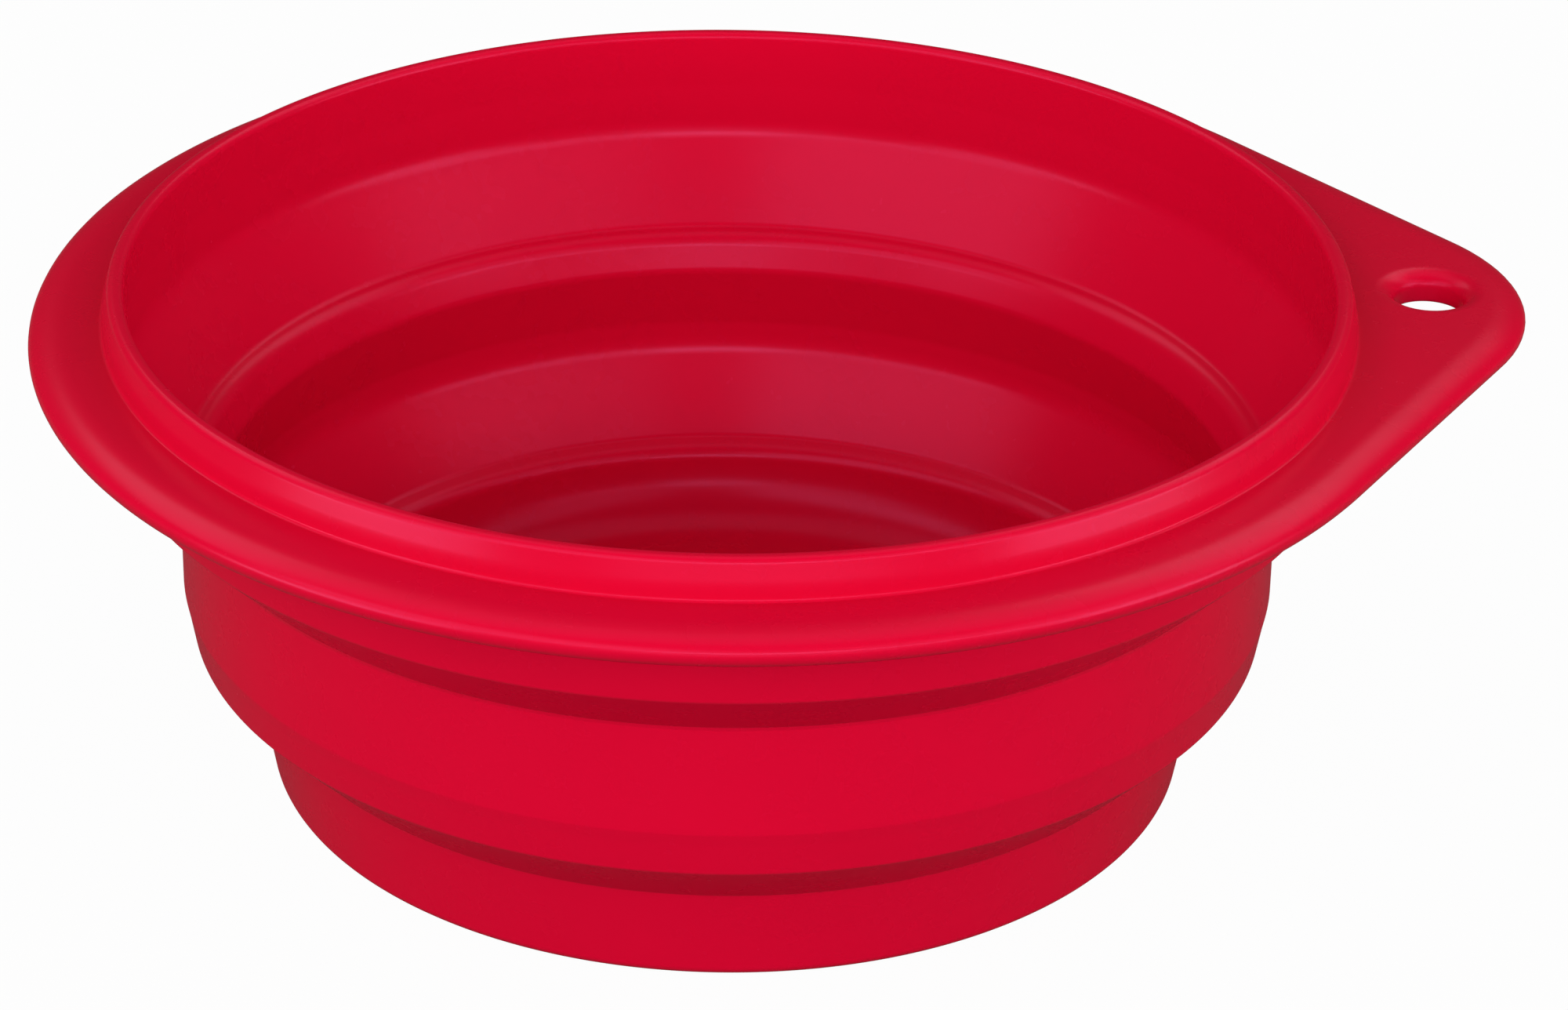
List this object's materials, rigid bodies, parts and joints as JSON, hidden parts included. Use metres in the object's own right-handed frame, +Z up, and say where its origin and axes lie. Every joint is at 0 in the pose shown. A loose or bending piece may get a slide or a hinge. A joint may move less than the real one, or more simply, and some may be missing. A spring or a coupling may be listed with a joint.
{
  "type": "collapsible silicone bowl",
  "caption": "Round collapsible bowl in soft silicone: stiff tiers joined by thin folds that snap down to pack flat, with a flanged rim and a hanging tab.",
  "frame": {"origin": "middle of the foot, where it stands on the table", "axes": "+Z up out of the open bowl, +X from the middle towards the hanging tab"},
  "size_m": [0.1925, 0.179, 0.069],
  "materials": {
    "silicone": "smooth satin moulded silicone, red"
  },
  "bodies": {
    "base": {"base_floor": "silicone", "base_ring": "silicone"},
    "middle": {"middle_ring": "silicone", "lower_fold": "silicone"},
    "rim": {"rim_wall": "silicone", "rim_flange": "silicone", "hanging_tab": "silicone", "upper_fold": "silicone"}
  },
  "joints": [
    {"name": "lower_collapse", "type": "slide", "parent": "base", "child": "middle", "axis": [0, 0, 1], "range_m": [-0.0175, 0], "deforming": ["lower_fold"]},
    {"name": "upper_collapse", "type": "slide", "parent": "middle", "child": "rim", "axis": [0, 0, 1], "range_m": [-0.0175, 0], "deforming": ["upper_fold"]}
  ]
}
